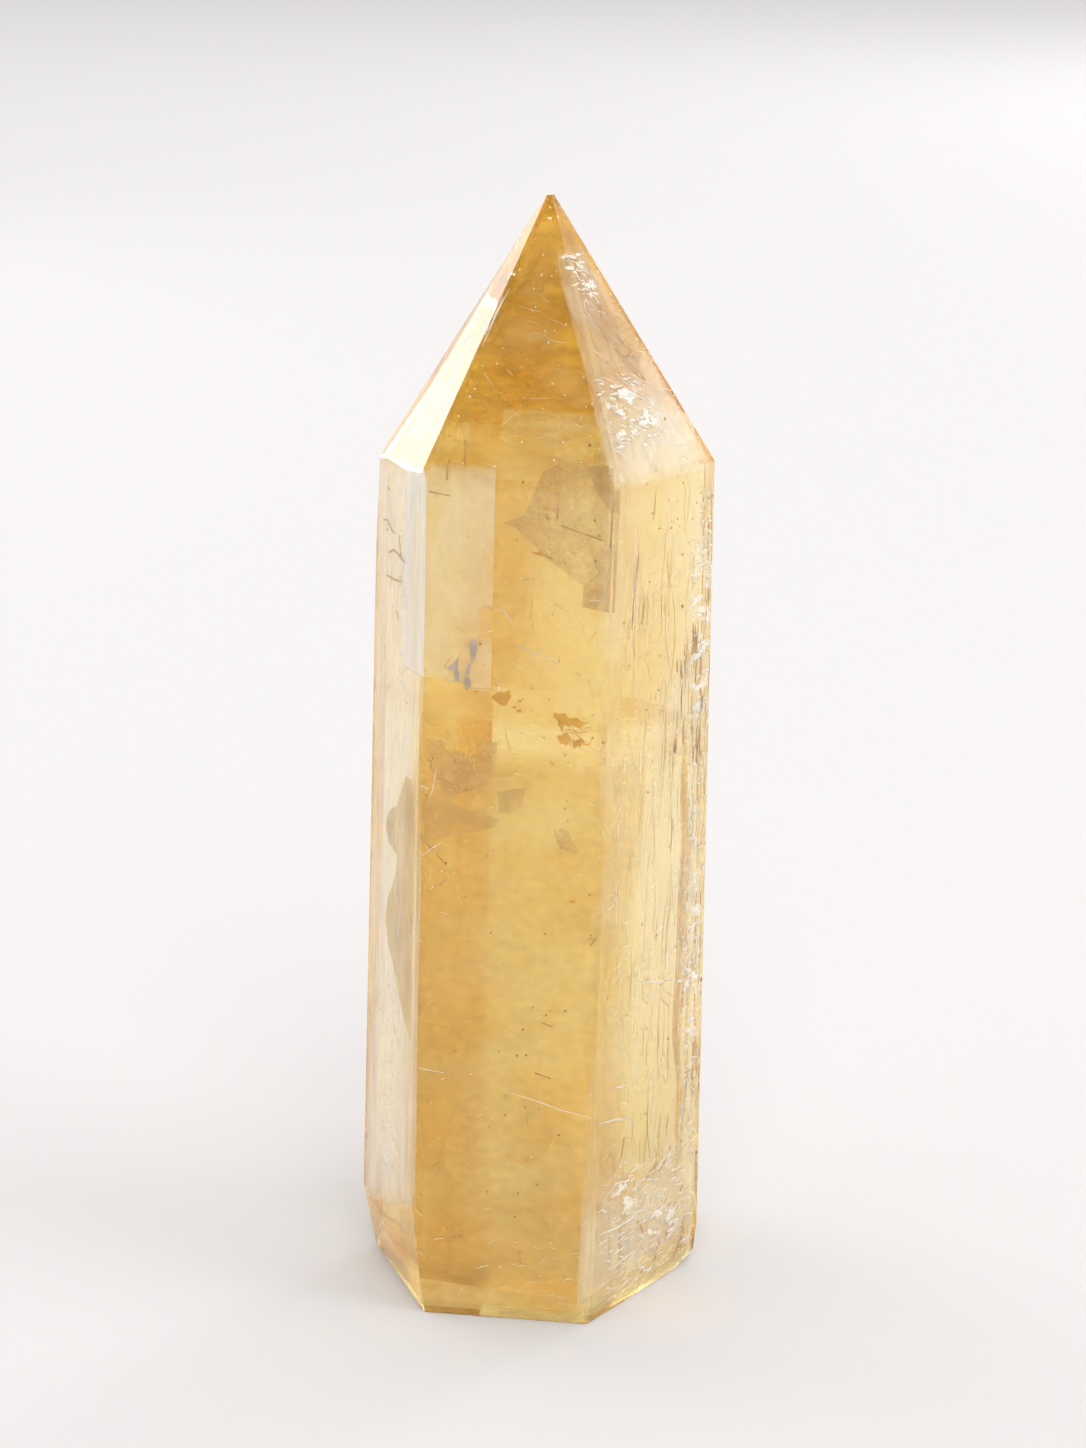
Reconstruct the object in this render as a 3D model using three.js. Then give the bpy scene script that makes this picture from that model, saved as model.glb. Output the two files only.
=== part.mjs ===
// A polished citrine tower: one piece of honey-yellow quartz ground by hand into a six-sided
// column with a six-sided point, standing on a flat sawn base. Millimetres, +Z up, the origin in
// the middle of the base, and the broad front face square to -Y.
//
// The stone is the space that lies behind all of its ground facets. Each facet is one plane, the
// corners are where three planes meet, and each facet's outline joins the corners that lie on it.

import * as THREE from "three";

// ---- Driving dimensions ---------------------------------------------------------------------

const HEIGHT = 100; // base to tip
const TIP_RADIUS = 0.3; // the point is worn blunt, so the facets of the point end this far out

// Column faces. Azimuth is the way a face looks, in degrees: 0 is the front (-Y), 90 is the right
// (+X). Reach is how far it stands from the axis at the base, and lean is how many degrees it
// tips inwards going up.
const COLUMN = {
  left: { azimuth: -62.8, reach: 14.5, lean: 0.55 },
  left_sliver: { azimuth: -59.0, reach: 14.93, lean: 0.75 }, // narrow, and runs out at the foot
  front: { azimuth: 0, reach: 13.88, lean: 1.15 },
  right: { azimuth: 58.9, reach: 13.4, lean: 0.4 },
  back_right: { azimuth: 122.3, reach: 14.15, lean: 1.0 },
  back: { azimuth: 180, reach: 13.9, lean: 0.8 },
  back_left: { azimuth: -125, reach: 12.05, lean: 0.8 },
  left_edge_shave: { azimuth: -90, reach: 18.05, lean: 2.8 }, // takes off the top of that edge
};

// Faces of the point. Shoulder is how far a face's plane stands from the axis at SHOULDER_HEIGHT.
const SHOULDER_HEIGHT = 76.6;
const POINT = {
  left: { azimuth: -62.8, shoulder: 14.08 },
  far_left: { azimuth: -69.5, shoulder: 14.28 },
  front: { azimuth: 0, shoulder: 12.38 },
  right: { azimuth: 59.4, shoulder: 13.3 },
  back_right: { azimuth: 122.6, shoulder: 13.18 },
  back: { azimuth: 180, shoulder: 12.65 },
  back_left: { azimuth: -122, shoulder: 11.4 },
};

// Softened edges round the base. Reach is how far the facet stands from the axis at the base, and
// flare is how many degrees it opens outwards going up, until it meets the column face above it.
const FOOT = {
  left_high: { azimuth: -60.5, reach: 13.6, flare: 4.9 },
  left_low: { azimuth: -62.8, reach: 13.15, flare: 11 },
  right: { azimuth: 60.3, reach: 13.22, flare: 17 },
  right_corner: { azimuth: 72.5, reach: 14.1, flare: 36 },
  back_right: { azimuth: 122.3, reach: 13.5, flare: 8.5 },
  back: { azimuth: 180, reach: 12.9, flare: 17 },
  back_left: { azimuth: -125, reach: 11.2, flare: 9.5 },
};

// ---- Facets as planes -----------------------------------------------------------------------

const SAME_CORNER = 1e-5; // corners closer than this are one corner
const ON_FACET = 1e-6; // a corner this close to a plane lies on it
const PARALLEL = 1e-9; // three normals that span less than this have no meeting point

// A plane that looks towards an azimuth, stands `reach` from the axis at height z = level, and
// whose distance from the axis shrinks by `narrowing` for each millimetre of height.
function facet(azimuth, reach, level, narrowing) {
  const turn = THREE.MathUtils.degToRad(azimuth);
  const outward = new THREE.Vector3(Math.sin(turn), -Math.cos(turn), narrowing).normalize();
  const onPlane = new THREE.Vector3(Math.sin(turn) * reach, -Math.cos(turn) * reach, level);
  return new THREE.Plane().setFromNormalAndCoplanarPoint(outward, onPlane);
}

function slopeOf(degrees) {
  return Math.tan(THREE.MathUtils.degToRad(degrees));
}

function facetsOfTheStone() {
  const facets = [
    new THREE.Plane(new THREE.Vector3(0, 0, -1), 0), // the base it stands on
    new THREE.Plane(new THREE.Vector3(0, 0, 1), -HEIGHT), // the worn tip
  ];
  for (const { azimuth, reach, lean } of Object.values(COLUMN)) {
    facets.push(facet(azimuth, reach, 0, slopeOf(lean)));
  }
  for (const { azimuth, shoulder } of Object.values(POINT)) {
    const narrowing = (shoulder - TIP_RADIUS) / (HEIGHT - SHOULDER_HEIGHT);
    facets.push(facet(azimuth, shoulder, SHOULDER_HEIGHT, narrowing));
  }
  for (const { azimuth, reach, flare } of Object.values(FOOT)) {
    facets.push(facet(azimuth, reach, 0, -slopeOf(flare)));
  }
  return facets;
}

// ---- From planes to a closed mesh -----------------------------------------------------------

// The point where three planes meet, or null where they have no such point.
function meetingPoint(a, b, c) {
  const bc = new THREE.Vector3().crossVectors(b.normal, c.normal);
  const ca = new THREE.Vector3().crossVectors(c.normal, a.normal);
  const ab = new THREE.Vector3().crossVectors(a.normal, b.normal);
  const volume = a.normal.dot(bc);
  if (Math.abs(volume) < PARALLEL) return null;
  return bc
    .multiplyScalar(-a.constant)
    .addScaledVector(ca, -b.constant)
    .addScaledVector(ab, -c.constant)
    .divideScalar(volume);
}

function cornersOf(facets) {
  const corners = [];
  for (let i = 0; i < facets.length; i += 1) {
    for (let j = i + 1; j < facets.length; j += 1) {
      for (let k = j + 1; k < facets.length; k += 1) {
        const point = meetingPoint(facets[i], facets[j], facets[k]);
        if (!point) continue;
        const inside = facets.every((plane) => plane.distanceToPoint(point) < ON_FACET);
        const known = corners.some((corner) => corner.distanceTo(point) < SAME_CORNER);
        if (inside && !known) corners.push(point);
      }
    }
  }
  return corners;
}

// The numbers of the corners on one facet, in order round its normal.
function outlineOf(plane, corners) {
  const onIt = [...corners.keys()].filter(
    (n) => Math.abs(plane.distanceToPoint(corners[n])) < ON_FACET,
  );
  const middle = new THREE.Vector3();
  for (const n of onIt) middle.addScaledVector(corners[n], 1 / onIt.length);
  const across = new THREE.Vector3().subVectors(corners[onIt[0]], middle).normalize();
  const along = new THREE.Vector3().crossVectors(plane.normal, across);
  const turnOf = (n) => {
    const arm = new THREE.Vector3().subVectors(corners[n], middle);
    return Math.atan2(arm.dot(along), arm.dot(across));
  };
  return onIt.sort((n, m) => turnOf(n) - turnOf(m));
}

function stoneGeometry() {
  const facets = facetsOfTheStone();
  const corners = cornersOf(facets);
  const triangles = [];
  for (const plane of facets) {
    const outline = outlineOf(plane, corners);
    for (let n = 1; n + 1 < outline.length; n += 1) {
      triangles.push(outline[0], outline[n], outline[n + 1]);
    }
  }
  const geometry = new THREE.BufferGeometry().setFromPoints(corners);
  geometry.setIndex(triangles);
  geometry.computeBoundingBox();
  const middle = geometry.boundingBox.getCenter(new THREE.Vector3());
  return geometry.translate(-middle.x, -middle.y, 0); // the origin goes to the middle of the base
}

// ---- The part -------------------------------------------------------------------------------

const citrine = new THREE.MeshStandardMaterial({
  name: "citrine",
  color: 0xdcae5c,
  roughness: 0.08,
  metalness: 0,
  flatShading: true,
});

const tower = new THREE.Mesh(stoneGeometry(), citrine);
tower.name = "citrine_tower";

const part = new THREE.Group();
part.add(tower);

export default part;
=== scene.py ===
import math
import random

import bmesh
import bpy
from mathutils import Matrix, Vector, noise


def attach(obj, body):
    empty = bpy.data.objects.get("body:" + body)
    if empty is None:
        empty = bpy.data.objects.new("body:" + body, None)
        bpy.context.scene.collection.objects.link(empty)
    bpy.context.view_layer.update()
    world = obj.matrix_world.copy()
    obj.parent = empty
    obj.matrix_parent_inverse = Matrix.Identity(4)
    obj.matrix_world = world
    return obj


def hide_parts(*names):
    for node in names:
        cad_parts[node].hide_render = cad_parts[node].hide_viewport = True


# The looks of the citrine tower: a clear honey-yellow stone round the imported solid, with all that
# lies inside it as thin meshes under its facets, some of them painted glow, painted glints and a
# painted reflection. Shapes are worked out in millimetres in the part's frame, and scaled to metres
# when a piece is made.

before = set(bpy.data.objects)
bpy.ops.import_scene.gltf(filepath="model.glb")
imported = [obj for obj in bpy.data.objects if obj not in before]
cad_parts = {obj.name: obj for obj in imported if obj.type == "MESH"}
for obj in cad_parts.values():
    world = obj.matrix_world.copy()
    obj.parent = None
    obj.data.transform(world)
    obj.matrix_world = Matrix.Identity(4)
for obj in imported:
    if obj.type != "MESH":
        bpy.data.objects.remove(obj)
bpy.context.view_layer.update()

MM = 0.001

# ---- Camera: where the photograph was taken from ----------------------------------------------
CAMERA_AZIMUTH = math.radians(6.34)
CAMERA_ELEVATION = math.radians(16.38)
CAMERA_ROLL = math.radians(1.33)
CAMERA_DISTANCE = 0.2718
CAMERA_AIM = Vector((0.14, 0.06, 52.43)) * MM
LENS_MM = 74.59
SENSOR_MM = 36


def make_camera():
    """The camera, turned about its own axis by the photograph's small roll."""
    data = bpy.data.cameras.new("camera")
    data.lens = LENS_MM
    data.sensor_width = SENSOR_MM
    data.clip_start = 0.01
    data.clip_end = 100
    camera = bpy.data.objects.new("camera", data)
    bpy.context.scene.collection.objects.link(camera)
    az, el = CAMERA_AZIMUTH, CAMERA_ELEVATION
    back = Vector((math.sin(az) * math.cos(el), -math.cos(az) * math.cos(el), math.sin(el)))
    right = Vector((math.cos(az), math.sin(az), 0))
    up = back.cross(right)
    turned_right = right * math.cos(CAMERA_ROLL) + up * math.sin(CAMERA_ROLL)
    turned_up = up * math.cos(CAMERA_ROLL) - right * math.sin(CAMERA_ROLL)
    rotation = Matrix((turned_right, turned_up, back)).transposed()
    camera.matrix_world = Matrix.Translation(CAMERA_AIM + back * CAMERA_DISTANCE) @ rotation.to_4x4()
    bpy.context.scene.camera = camera


# ---- Materials --------------------------------------------------------------------------------

DENSITY_ATTRIBUTE = "milk"  # where a veil's mesh holds how thick it is at each point
QUARTZ_IOR = 1.544
VEIL_IOR = 1.3
HONEY_ABSORPTION = (0.99, 0.815, 0.13, 1)
ABSORPTION_PER_METRE = 52
POLISHING_WAVE = 0.012  # mm
POLISHING_WAVE_SIZE = 7  # mm
SEED_SHIFT = (3.7, 1.9, 5.3)  # how far one step of a seed moves a noise along each axis


class Look:
    """A node material, built up from one Principled shader."""

    def __init__(self, name, roughness=0.5, gloss=0.5):
        self.material = bpy.data.materials.new(name)
        self.material.use_nodes = True
        self.nodes = self.material.node_tree.nodes
        self.links = self.material.node_tree.links
        self.shader = self.nodes["Principled BSDF"]
        self.shader.inputs["Roughness"].default_value = roughness
        self.shader.inputs["Specular IOR Level"].default_value = gloss

    def put(self, source, name):
        """Joins a socket to one of the shader's inputs, or sets that input to a value."""
        if isinstance(source, bpy.types.NodeSocket):
            self.links.new(source, self.shader.inputs[name])
        else:
            self.shader.inputs[name].default_value = source

    def grain(self, size, seed, stretch=(1, 1, 1), detail=2.0, roughness=0.55):
        """Noise with features about `size` mm across, drawn out along the axes by `stretch`."""
        place = self.nodes.new("ShaderNodeTexCoord")
        mapping = self.nodes.new("ShaderNodeMapping")
        mapping.inputs["Scale"].default_value = [1 / (size * MM * s) for s in stretch]
        mapping.inputs["Location"].default_value = [seed * shift for shift in SEED_SHIFT]
        self.links.new(place.outputs["Object"], mapping.inputs["Vector"])
        texture = self.nodes.new("ShaderNodeTexNoise")
        texture.inputs["Scale"].default_value = 1
        texture.inputs["Detail"].default_value = detail
        texture.inputs["Roughness"].default_value = roughness
        self.links.new(mapping.outputs["Vector"], texture.inputs["Vector"])
        return texture.outputs["Fac"]

    def ramp(self, source, low, high, to_low, to_high):
        """A smooth step of a socket from one level to another."""
        step = self.nodes.new("ShaderNodeMapRange")
        step.interpolation_type = "SMOOTHSTEP"
        self.links.new(source, step.inputs["Value"])
        limits = {"From Min": low, "From Max": high, "To Min": to_low, "To Max": to_high}
        for name, value in limits.items():
            step.inputs[name].default_value = value
        return step.outputs["Result"]

    def times(self, a, b):
        """The product of two sockets."""
        node = self.nodes.new("ShaderNodeMath")
        node.operation = "MULTIPLY"
        for socket, source in zip(node.inputs, (a, b)):
            self.links.new(source, socket)
        return node.outputs["Value"]

    def colours(self, source, *stops):
        """Colours along a socket: (level, (r, g, b)) stops."""
        ramp = self.nodes.new("ShaderNodeValToRGB")
        elements = ramp.color_ramp.elements
        while len(elements) < len(stops):
            elements.new(0.5)
        for element, (level, colour) in zip(elements, stops):
            element.position = level
            element.color = (*colour, 1)
        self.links.new(source, ramp.inputs["Fac"])
        return ramp.outputs["Color"]

    def density(self):
        """How thick a veil is at each point, as its mesh holds it."""
        node = self.nodes.new("ShaderNodeAttribute")
        node.attribute_name = DENSITY_ATTRIBUTE
        return node.outputs["Fac"]

    def bump(self, source, height):
        """Surface relief of the given height in mm."""
        node = self.nodes.new("ShaderNodeBump")
        node.inputs["Distance"].default_value = height * MM
        node.inputs["Strength"].default_value = 1
        self.links.new(source, node.inputs["Height"])
        self.links.new(node.outputs["Normal"], self.shader.inputs["Normal"])


def citrine():
    """Clear honey quartz: plain glass with quartz's own index and a yellow absorption."""
    look = Look("citrine", roughness=0.0)
    look.put((1, 1, 1, 1), "Base Color")
    look.put(1.0, "Transmission Weight")
    look.put(QUARTZ_IOR, "IOR")
    absorption = look.nodes.new("ShaderNodeVolumeAbsorption")
    absorption.inputs["Color"].default_value = HONEY_ABSORPTION
    absorption.inputs["Density"].default_value = ABSORPTION_PER_METRE
    look.links.new(absorption.outputs["Volume"], look.nodes["Material Output"].inputs["Volume"])
    look.bump(look.grain(POLISHING_WAVE_SIZE, 2.0, stretch=(1, 1, 3)), POLISHING_WAVE)
    return look.material


def veil(name, thin, thick, size, clear, seed, stretch=(1, 1, 1), low=0.3, high=0.7, least=0.0,
         colour_size=6.0):
    """A milky layer in the quartz, with soft patches about `size` mm across that come and go.

    The patches start where their noise passes `low` and are whole at `high`, and between them the
    layer keeps `least` of its density. Its colour wanders from thin to thick, and `clear` is the
    share of the light that it passes on, softened, and does not scatter back.
    """
    look = Look(name, roughness=0.7, gloss=0.0)
    look.put(clear, "Transmission Weight")
    look.put(VEIL_IOR, "IOR")
    patches = look.grain(size, seed, stretch, detail=3, roughness=0.65)
    look.put(look.times(look.ramp(patches, low, high, least, 1.0), look.density()), "Alpha")
    tint = look.grain(colour_size, seed + 1, stretch)
    look.put(look.colours(tint, (0.35, thin), (0.65, thick)), "Base Color")
    return look.material


# ---- Shapes -----------------------------------------------------------------------------------


class Shape:
    """Points and faces gathered for one mesh, in millimetres, with a density at each point."""

    def __init__(self):
        self.points, self.faces, self.density = [], [], []

    def add(self, points, faces, density=1.0):
        first = len(self.points)
        self.points.extend(Vector(p) for p in points)
        self.faces.extend([first + i for i in face] for face in faces)
        self.density.extend(density if isinstance(density, list) else [density] * len(points))


SAME_CORNER = 0.002  # mm: corners closer than this are one
SAME_FACET = math.radians(0.3)  # triangles that differ by less lie on one facet


def stone_mesh():
    """The CAD tower with its triangles joined back into whole facets."""
    maker = bmesh.new()
    maker.from_mesh(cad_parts["citrine_tower"].data)
    bmesh.ops.remove_doubles(maker, verts=maker.verts, dist=SAME_CORNER * MM)
    bmesh.ops.dissolve_limit(maker, angle_limit=SAME_FACET, verts=maker.verts, edges=maker.edges)
    mesh = bpy.data.meshes.new("tower_body")
    maker.to_mesh(mesh)
    maker.free()
    return mesh


def facets_of(mesh):
    """Each facet as a point on it and its outward direction, in millimetres."""
    return [(polygon.center / MM, polygon.normal.copy()) for polygon in mesh.polygons]


STONE = stone_mesh()
FACETS = facets_of(STONE)


def depth_below(point):
    """How far a point lies inside the nearest facet."""
    return min((on - point).dot(out) for on, out in FACETS)


def smooth(value):
    """A soft step from 0 to 1 as the value goes from 0 to 1."""
    value = min(1.0, max(0.0, value))
    return value * value * (3 - 2 * value)


WAVES_PER_MM = 0.11
WAVE_SEED_STEP = 7.1
TRIM_BORDER = 0.15  # mm by which a layer's trimmed edge keeps a little density


def sheet(shape, centre, across, up, width, height, strength, wave, seed, cell=1.2,
          side_fade=0.25, inset=0.35, fade=1.6):
    """A thin waved layer, trimmed to the inside of the stone. strength is a number or f(point).

    It stops `inset` mm short of the surface and thickens over the next `fade` mm. side_fade is the
    share of its half width and half height over which it thins out to its own borders.
    """
    centre, across, up = Vector(centre), Vector(across).normalized(), Vector(up).normalized()
    out = across.cross(up)
    maker = bmesh.new()
    columns, rows = max(2, round(width / cell)), max(2, round(height / cell))
    grid = []
    for j in range(rows + 1):
        line = []
        for i in range(columns + 1):
            point = centre + across * width * (i / columns - 0.5) + up * height * (j / rows - 0.5)
            lift = noise.noise(point * WAVES_PER_MM + Vector((seed * WAVE_SEED_STEP, 0, seed)))
            line.append(maker.verts.new(point + out * wave * 2 * lift))
        grid.append(line)
    for j in range(rows):
        for i in range(columns):
            maker.faces.new((grid[j][i], grid[j][i + 1], grid[j + 1][i + 1], grid[j + 1][i]))
    for on, away in FACETS:
        geometry = list(maker.verts) + list(maker.edges) + list(maker.faces)
        bmesh.ops.bisect_plane(maker, geom=geometry, plane_co=on - away * inset, plane_no=away,
                               clear_outer=True, dist=1e-4)
    maker.verts.index_update()
    density = []
    for vert in maker.verts:
        offset = vert.co - centre
        u = abs(offset.dot(across)) * 2 / width
        v = abs(offset.dot(up)) * 2 / height
        level = strength(vert.co) if callable(strength) else strength
        border = smooth((1 - u) / side_fade) * smooth((1 - v) / side_fade) if side_fade else 1
        skin = smooth((depth_below(vert.co) - inset + TRIM_BORDER) / fade)
        density.append(level * border * skin)
    faces = [[vert.index for vert in face.verts] for face in maker.faces]
    shape.add([vert.co.copy() for vert in maker.verts], faces, density)
    maker.free()


def facing(azimuth):
    """The outward direction of an upright plane at an azimuth, 0 at the front and 90 at the right."""
    return Vector((math.sin(math.radians(azimuth)), -math.cos(math.radians(azimuth)), 0))


def facet_towards(azimuth, elevation=0.0):
    """The facet that faces a direction best: a point on it and its outward direction."""
    wanted = facing(azimuth) * math.cos(math.radians(elevation))
    wanted.z = math.sin(math.radians(elevation))
    return max(FACETS, key=lambda facet: facet[1].dot(wanted))


FRONT = facet_towards(0)
RIGHT = facet_towards(59)
BACK_RIGHT = facet_towards(122)
BACK = facet_towards(180)
BACK_LEFT = facet_towards(-125)
SLIVER = facet_towards(-59)
LEFT = facet_towards(-62.8)
HIDDEN_FACES = (BACK_RIGHT, BACK, BACK_LEFT)
POINT_FRONT = facet_towards(0, 27)
POINT_RIGHT = facet_towards(59, 29)
POINT_LEFT = facet_towards(-63, 30)
POINT_FACETS = (POINT_FRONT, POINT_RIGHT, POINT_LEFT,
                facet_towards(123, 29), facet_towards(180, 28), facet_towards(-122, 25))


def on_facet(facet, across, height, depth):
    """The point `depth` mm under a facet, at a height and a distance to the right of the axis."""
    on, out = facet
    right = Vector((0, 0, 1)).cross(out).normalized()
    start = right * across + Vector((0, 0, height))
    level = Vector((out.x, out.y, 0)).normalized()
    return start + level * (((on - start).dot(out) - depth) / level.dot(out))


def film(shape, facet, depth, low, high, strength, side=0.0, width=26.0, **more):
    """A layer that follows a facet at a small depth, between two heights."""
    on, out = facet
    right = Vector((0, 0, 1)).cross(out).normalized()
    centre = on_facet(facet, side, (low + high) / 2, depth)
    sheet(shape, centre, right, out.cross(right), width, high - low, strength, **more)


ACROSS_ALL = 34.0  # mm, wide enough to cross the stone anywhere


def level_sheet(shape, height, fall_right, fall_back, strength, **more):
    """A layer across the stone that falls to the right and to the back by the given slopes."""
    across = Vector((1, 0, -fall_right))
    away = Vector((0, 1, -fall_back))
    sheet(shape, (0, 0, height), across, away, ACROSS_ALL, ACROSS_ALL, strength, **more)


def make_piece(name, shape, material, smooth_faces=False):
    """One named mesh of the stone's inside."""
    mesh = bpy.data.meshes.new(name)
    mesh.from_pydata([p * MM for p in shape.points], [], shape.faces)
    mesh.attributes.new(DENSITY_ATTRIBUTE, "FLOAT", "POINT").data.foreach_set("value", shape.density)
    for polygon in mesh.polygons:
        polygon.use_smooth = smooth_faces
    mesh.materials.append(material)
    piece = bpy.data.objects.new(name, mesh)
    bpy.context.scene.collection.objects.link(piece)
    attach(piece, "root")


def plate(shape, centre, out, outline, thickness, along=None):
    """A thin closed flake: an outline of (across, up) points around a centre, facing `out`."""
    centre, out = Vector(centre), Vector(out).normalized()
    right = Vector(along).normalized() if along else Vector((0, 0, 1)).cross(out).normalized()
    right = (right - out * right.dot(out)).normalized()
    up = out.cross(right)
    count = len(outline)
    points = []
    for side in (thickness / 2, -thickness / 2):
        points.extend(centre + right * a + up * b + out * side for a, b in outline)
    faces = [list(range(count)), list(range(2 * count - 1, count - 1, -1))]
    faces += [[i, i + count, (i + 1) % count + count, (i + 1) % count] for i in range(count)]
    shape.add(points, faces)


def ragged(rng, width, height, count, roughness):
    """An uneven outline of about the given size, with `count` corners."""
    outline = []
    for i in range(count):
        angle = 2 * math.pi * (i + rng.uniform(-0.3, 0.3)) / count
        reach = 1 - roughness * rng.random()
        outline.append((width / 2 * reach * math.cos(angle), height / 2 * reach * math.sin(angle)))
    return outline


def strand(shape, path, radius, sides=5):
    """A closed round strand along a list of points, thinned to its ends."""
    path = [Vector(p) for p in path]
    last = len(path) - 1
    points, faces = [], []
    for i, point in enumerate(path):
        along = (path[min(i + 1, last)] - path[max(i - 1, 0)]).normalized()
        side = along.orthogonal().normalized()
        other = along.cross(side)
        size = radius * (0.25 + 0.75 * math.sin(math.pi * (i + 0.5) / (last + 1)))
        for k in range(sides):
            angle = 2 * math.pi * k / sides
            points.append(point + (side * math.cos(angle) + other * math.sin(angle)) * size)
    for i in range(last):
        for k in range(sides):
            a, b = i * sides + k, i * sides + (k + 1) % sides
            faces.append([a, b, b + sides, a + sides])
    faces.append(list(range(sides))[::-1])
    faces.append([last * sides + k for k in range(sides)])
    shape.add(points, faces)


def pebble(shape, centre, size, rng):
    """A tiny uneven eight-sided grain."""
    axes = [Vector([rng.gauss(0, 1) for _ in range(3)]).normalized()]
    axes.append(axes[0].orthogonal().normalized())
    axes.append(axes[0].cross(axes[1]))
    points = []
    for axis in axes:
        for sign in (1, -1):
            points.append(centre + axis * sign * size * rng.uniform(0.7, 1.3))
    corners = ((0, 2, 4), (2, 1, 4), (1, 3, 4), (3, 0, 4), (2, 0, 5), (1, 2, 5), (3, 1, 5), (0, 3, 5))
    shape.add(points, [list(c) for c in corners])


REACH_ACROSS = (-15, 15)  # mm, the stone's own reach in x
REACH_BACK = (-14, 14)  # mm, and in y


def inside(rng, low, high, nearest, farthest):
    """A random point in the stone between two heights, that deep below its nearest facet."""
    while True:
        point = Vector((rng.uniform(*REACH_ACROSS), rng.uniform(*REACH_BACK), rng.uniform(low, high)))
        if nearest < depth_below(point) < farthest:
            return point


def tilted(rng, direction, spread):
    """A direction near another one."""
    return (Vector(direction) + Vector([rng.gauss(0, spread) for _ in range(3)])).normalized()


# ---- The stone --------------------------------------------------------------------------------


EDGE_ROUNDING = 0.2  # mm
ROUNDED_FROM = math.radians(2)  # edges that turn by less stay as they are


def make_stone():
    """The clear stone itself: the CAD facets with narrow polished edges between them."""
    stone = bpy.data.objects.new("tower_body", STONE)
    bpy.context.scene.collection.objects.link(stone)
    bevel = stone.modifiers.new("round_edges", "BEVEL")
    bevel.width = EDGE_ROUNDING * MM
    bevel.segments = 3
    bevel.limit_method = "ANGLE"
    bevel.angle_limit = ROUNDED_FROM
    bevel.harden_normals = True
    depsgraph = bpy.context.evaluated_depsgraph_get()
    finished = bpy.data.meshes.new_from_object(stone.evaluated_get(depsgraph))
    stone.modifiers.clear()
    stone.data = finished
    stone.data.materials.append(citrine())
    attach(stone, "root")
    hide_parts("citrine_tower")


# ---- Clouds and colour inside, and painted glow and light -------------------------------------

# A layer's two heights may lie past the facet that it follows, because the stone trims it.

FRACTURE_HEIGHT = 52.8  # where the through-going fracture crosses the axis
FRACTURE_FALL = 0.189  # how fast it falls to the right


def cloud_films(shape, facet, depths, low, high, strength, seed, **more):
    """Several thin layers one under another below a facet, which together look like cloud."""
    for number, depth in enumerate(depths):
        film(shape, facet, depth, low, high, strength, wave=0.5, seed=seed + number, fade=1.2, **more)


COLUMN_TOP = 84  # above the shoulder all round
# The foot facets as (azimuth, elevation), and how dense the honey is behind each.
FOOT_HONEY = (((60, -17), 0.4), ((73, -36), 0.4), ((180, -17), 0.5), ((-125, -9), 0.9), ((122, -9), 0.6))
FRONT_FOOT_STRIP = ((-8.6, 3.2), (-2.0, 2.6), (6.7, 1.6), (6.7, 0.5), (-8.6, 0.5))


def make_honey_veils():
    """Honey-coloured cloud in the lower half, behind the front above it, and over the base."""
    shape = Shape()

    def below_fracture(point):
        rightwards = 1 + 0.5 * smooth((point.x + 6) / 6)
        return 0.65 * rightwards * smooth((FRACTURE_HEIGHT - FRACTURE_FALL * point.x - point.z + 1) / 1.5)

    cloud_films(shape, FRONT, (1.8, 3.4, 5.0), 1, FRACTURE_HEIGHT + 3, below_fracture, 1)
    cloud_films(shape, FRONT, (2.6,), FRACTURE_HEIGHT, COLUMN_TOP, 0.7, 9)
    cloud_films(shape, BACK_RIGHT, (2.5,), 1, FRACTURE_HEIGHT + 3, below_fracture, 16)
    film(shape, BACK_LEFT, 0.5, 1, FRACTURE_HEIGHT + 4, 0.3, wave=0.02, seed=12, side_fade=0.02, fade=0.3)

    def behind_front(point):
        return 0.5 - 0.03 * (point.x + 5)

    film(shape, BACK, 0.5, FRACTURE_HEIGHT - 2, COLUMN_TOP, behind_front, side=-0.5, width=17, wave=0.02,
         seed=20, side_fade=0.1, fade=0.3)
    for seed, (direction, strength) in enumerate(FOOT_HONEY, start=26):
        for depth in (0.5, 1.1):
            film(shape, facet_towards(*direction), depth, 0, 12, strength, wave=0.02, seed=seed,
                 side_fade=0.02, fade=0.2)
    patch(shape, FRONT, FRONT_FOOT_STRIP, 0.5, 0.9)
    level_sheet(shape, 1.0, 0, 0, 0.9, wave=0.1, seed=25, side_fade=0, fade=0.3)
    honey = veil("honey_veil", (1.0, 0.765, 0.26), (1.0, 0.865, 0.42), 6, clear=0.35, seed=3.0,
                 stretch=(1.4, 1.4, 1.0), low=0.2, high=0.8, least=0.3)
    make_piece("honey_veils", shape, honey, smooth_faces=True)


def make_fracture():
    """The healed fracture that crosses the stone at half height, falling to the right."""
    shape = Shape()

    def far_side(point):
        return 0.3 + 0.5 * smooth((point.y + 8) / 16)

    level_sheet(shape, FRACTURE_HEIGHT, FRACTURE_FALL, 0.0, far_side, wave=0.15, seed=31, side_fade=0,
                inset=0.1, fade=0.3)
    healed = veil("fracture_veil", (1.0, 0.84, 0.45), (1.0, 0.95, 0.75), 7, clear=0.5, seed=8.0)
    make_piece("healed_fracture", shape, healed, smooth_faces=True)


POINT_FOOT = 74  # below the shoulder all round


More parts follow.
